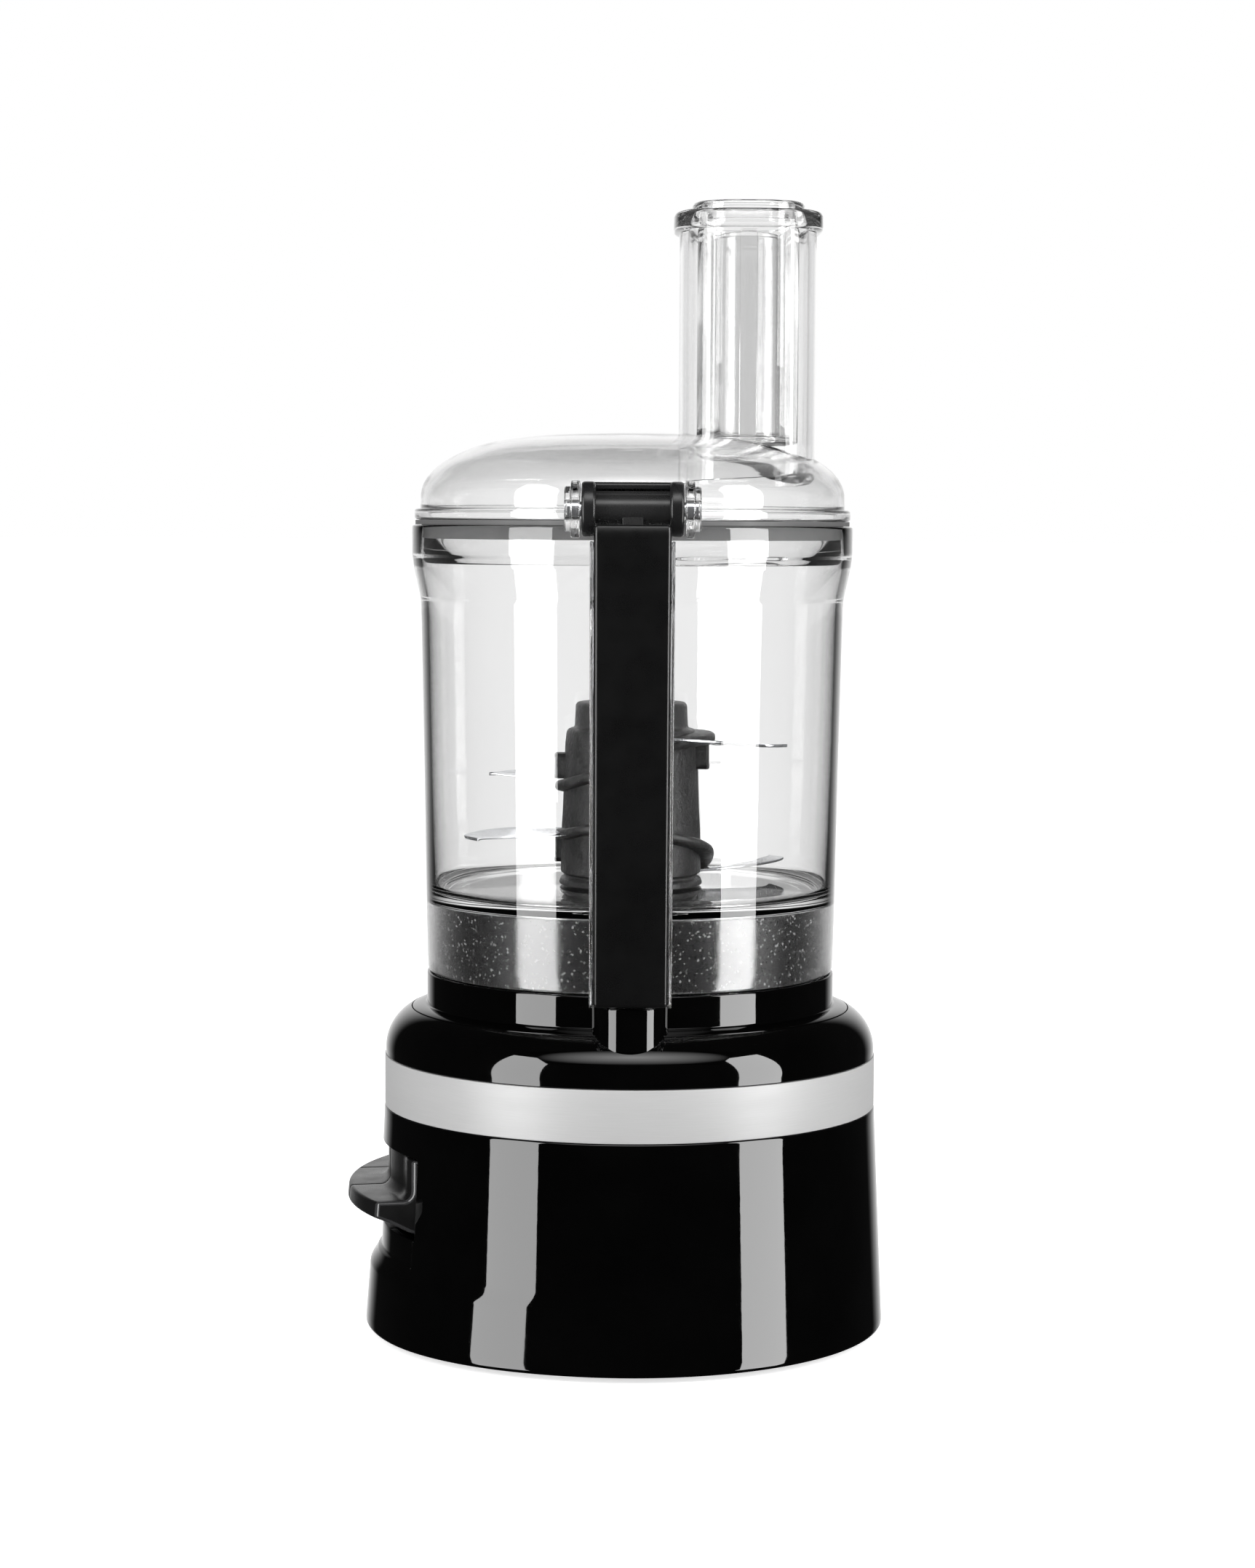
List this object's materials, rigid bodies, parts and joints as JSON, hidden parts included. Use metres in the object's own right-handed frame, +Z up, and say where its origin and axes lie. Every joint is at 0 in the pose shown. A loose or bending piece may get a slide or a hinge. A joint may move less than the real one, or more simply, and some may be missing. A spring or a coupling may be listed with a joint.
{
  "type": "food processor",
  "caption": "Food processor: round motor base with control keys, clear work bowl with side handle and latch, domed lid with feed tube and nested pushers, blade hub.",
  "frame": {"origin": "point where the vertical drive axis meets the table that the rubber feet stand on", "axes": "+Z up along the drive axis, +X towards the bowl handle, -Y towards the control keys, +Y towards the cord inlet and the feed tube"},
  "size_m": [0.2184, 0.196, 0.4075],
  "materials": {
    "gloss_black": "mirror-gloss black ABS",
    "band_aluminium": "brushed around the axis",
    "inner_plastic": "fine moulded texture",
    "rubber": "matte",
    "zinc_steel": "bright zinc plate",
    "cast_metal": "as cast",
    "motor_steel": "rolled and plated",
    "bronze": "sintered bronze",
    "copper": "enamelled copper windings",
    "board_green": "solder resist",
    "natural_nylon": "natural nylon",
    "key_black": "satin black",
    "clear_plastic": "clear polished copolyester",
    "skirt_grey": "dark grey with fine metal flake",
    "handle_rail": "dark translucent grey",
    "handle_black": "matte black",
    "hub_grey": "dark grey, spark textured",
    "blade_steel": "ground stainless steel"
  },
  "bodies": {
    "base": {"base_housing": "gloss_black", "bowl_dock": "gloss_black", "trim_band": "band_aluminium", "base_plate": "inner_plastic", "rubber_feet": "rubber", "base_screws": "zinc_steel", "chassis": "cast_metal", "motor_can": "motor_steel", "motor_end_cap": "motor_steel", "brush_holders": "bronze", "shaft_bearings": "bronze", "shaft_seal": "rubber", "drive_belt": "rubber", "control_bezel": "inner_plastic", "key_pivot_rod": "zinc_steel", "control_board": "board_green", "key_switches": "inner_plastic", "interlock_switch": "inner_plastic", "cord_gland": "inner_plastic"},
    "drive_train": {"drive_shaft": "zinc_steel", "drive_pulley": "natural_nylon", "drive_coupling": "zinc_steel"},
    "motor_rotor": {"motor_armature": "copper", "motor_shaft": "zinc_steel", "motor_pulley": "natural_nylon", "cooling_fan": "natural_nylon"},
    "pulse_paddle": {"pulse_key": "key_black"},
    "low_paddle": {"low_key": "key_black"},
    "high_paddle": {"high_key": "key_black"},
    "work_bowl": {"bowl": "clear_plastic", "bowl_skirt": "skirt_grey", "handle_frame": "handle_rail", "handle_cover": "handle_black", "handle_screws": "zinc_steel", "bowl_bush": "natural_nylon", "rod_spring": "zinc_steel"},
    "safety_rod": {"interlock_rod": "natural_nylon"},
    "lid_group": {"lid": "clear_plastic", "lid_seal": "rubber", "latch_pin": "zinc_steel"},
    "latch": {"latch_lever": "handle_black"},
    "outer_pusher": {"large_pusher": "clear_plastic"},
    "inner_pusher": {"small_pusher": "clear_plastic"},
    "adapter": {"drive_adapter": "natural_nylon"},
    "blade_group": {"blade_hub": "hub_grey", "upper_blades": "blade_steel", "lower_blades": "blade_steel"}
  },
  "joints": [
    {"name": "bowl_lift", "type": "slide", "parent": "base", "child": "work_bowl", "axis": [0, 0, 1], "range_m": [0, 0.2]},
    {"name": "lid_lift", "type": "slide", "parent": "work_bowl", "child": "lid_group", "axis": [0, 0, 1], "range_m": [0, 0.12]},
    {"name": "latch_hinge", "type": "hinge", "parent": "lid_group", "child": "latch", "pos_m": [0.112, 0, 0.298], "axis": [0, -1, 0], "range_deg": [0, 60]},
    {"name": "safety_rod_slide", "type": "slide", "parent": "work_bowl", "child": "safety_rod", "axis": [0.2201, 0, 0.9755], "range_m": [0, 0.003]},
    {"name": "outer_pusher_slide", "type": "slide", "parent": "lid_group", "child": "outer_pusher", "axis": [0, 0, 1], "range_m": [0, 0.09]},
    {"name": "inner_pusher_slide", "type": "slide", "parent": "outer_pusher", "child": "inner_pusher", "axis": [0, 0, 1], "range_m": [0, 0.08]},
    {"name": "motor_spin", "type": "hinge", "parent": "base", "child": "motor_rotor", "pos_m": [0, 0.045, 0.034], "axis": [0, 0, 1], "continuous": true},
    {"name": "drive_spin", "type": "hinge", "parent": "base", "child": "drive_train", "pos_m": [0, 0, 0.034], "axis": [0, 0, 1], "continuous": true},
    {"name": "adapter_spin", "type": "hinge", "parent": "work_bowl", "child": "adapter", "pos_m": [0, 0, 0.18], "axis": [0, 0, 1], "continuous": true},
    {"name": "blade_lift", "type": "slide", "parent": "adapter", "child": "blade_group", "axis": [0, 0, 1], "range_m": [0, 0.08]},
    {"name": "pulse_key_press", "type": "hinge", "parent": "base", "child": "pulse_paddle", "pos_m": [0, -0.066, 0.064], "axis": [1, 0, 0], "range_deg": [0, 3.5], "stiffness_Nm_per_rad": 0.8, "springref_deg": -2.86},
    {"name": "low_key_press", "type": "hinge", "parent": "base", "child": "low_paddle", "pos_m": [0, -0.066, 0.064], "axis": [1, 0, 0], "range_deg": [0, 3.5], "stiffness_Nm_per_rad": 0.8, "springref_deg": -2.86},
    {"name": "high_key_press", "type": "hinge", "parent": "base", "child": "high_paddle", "pos_m": [0, -0.066, 0.064], "axis": [1, 0, 0], "range_deg": [0, 3.5], "stiffness_Nm_per_rad": 0.8, "springref_deg": -2.86}
  ],
  "couplings": [
    {"joint": "drive_spin", "follows": "motor_spin", "ratio": 0.33333},
    {"joint": "adapter_spin", "follows": "motor_spin", "ratio": 0.33333},
    {"joint": "safety_rod_slide", "follows": "latch_hinge", "m_per_rad": 0.00286}
  ]
}
